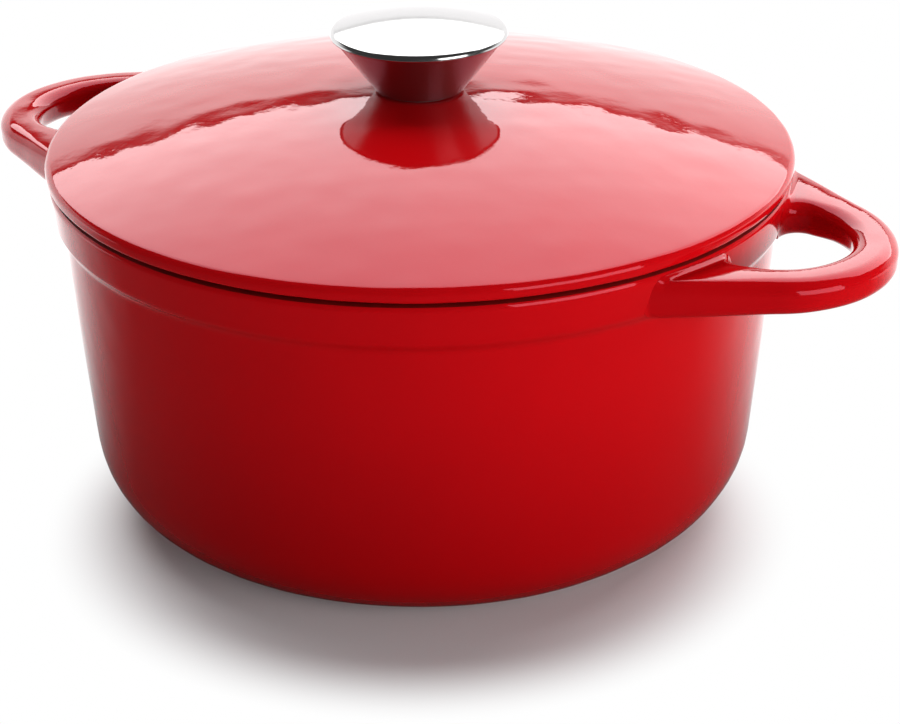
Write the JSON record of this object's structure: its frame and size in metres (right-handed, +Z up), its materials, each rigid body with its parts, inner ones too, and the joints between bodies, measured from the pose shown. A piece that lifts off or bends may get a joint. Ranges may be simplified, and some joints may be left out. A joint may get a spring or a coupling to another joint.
{
  "type": "cast iron dutch oven",
  "caption": "Round enamelled cast-iron cooking pot with two loop handles cast on and a domed lid with a stainless cone knob, for braising, stewing and baking.",
  "frame": {"origin": "centre of the foot, on the surface the pot stands on", "axes": "+X through the two handles, +Z up along the axis of the pot and its lid"},
  "size_m": [0.3464, 0.26, 0.1758],
  "materials": {
    "red_enamel": "gloss",
    "gasket_rubber": "matte",
    "brushed_stainless": "satin",
    "polished_stainless": "polished",
    "screw_steel": "satin"
  },
  "bodies": {
    "pot": {"pot_casting": "red_enamel"},
    "lid_carrier": {"knob_gasket": "gasket_rubber"},
    "lid": {"lid_casting": "red_enamel", "knob_skirt": "brushed_stainless", "knob_cap": "polished_stainless", "knob_boss": "brushed_stainless", "knob_screw": "screw_steel", "screw_washer": "screw_steel", "screw_lock_washer": "screw_steel"}
  },
  "joints": [
    {"name": "lid_lift", "type": "slide", "parent": "pot", "child": "lid_carrier", "axis": [0, 0, 1], "range_m": [0, 0.2]},
    {"name": "lid_turn", "type": "hinge", "parent": "lid_carrier", "child": "lid", "pos_m": [0, 0, 0.15], "axis": [0, 0, 1], "continuous": true}
  ]
}
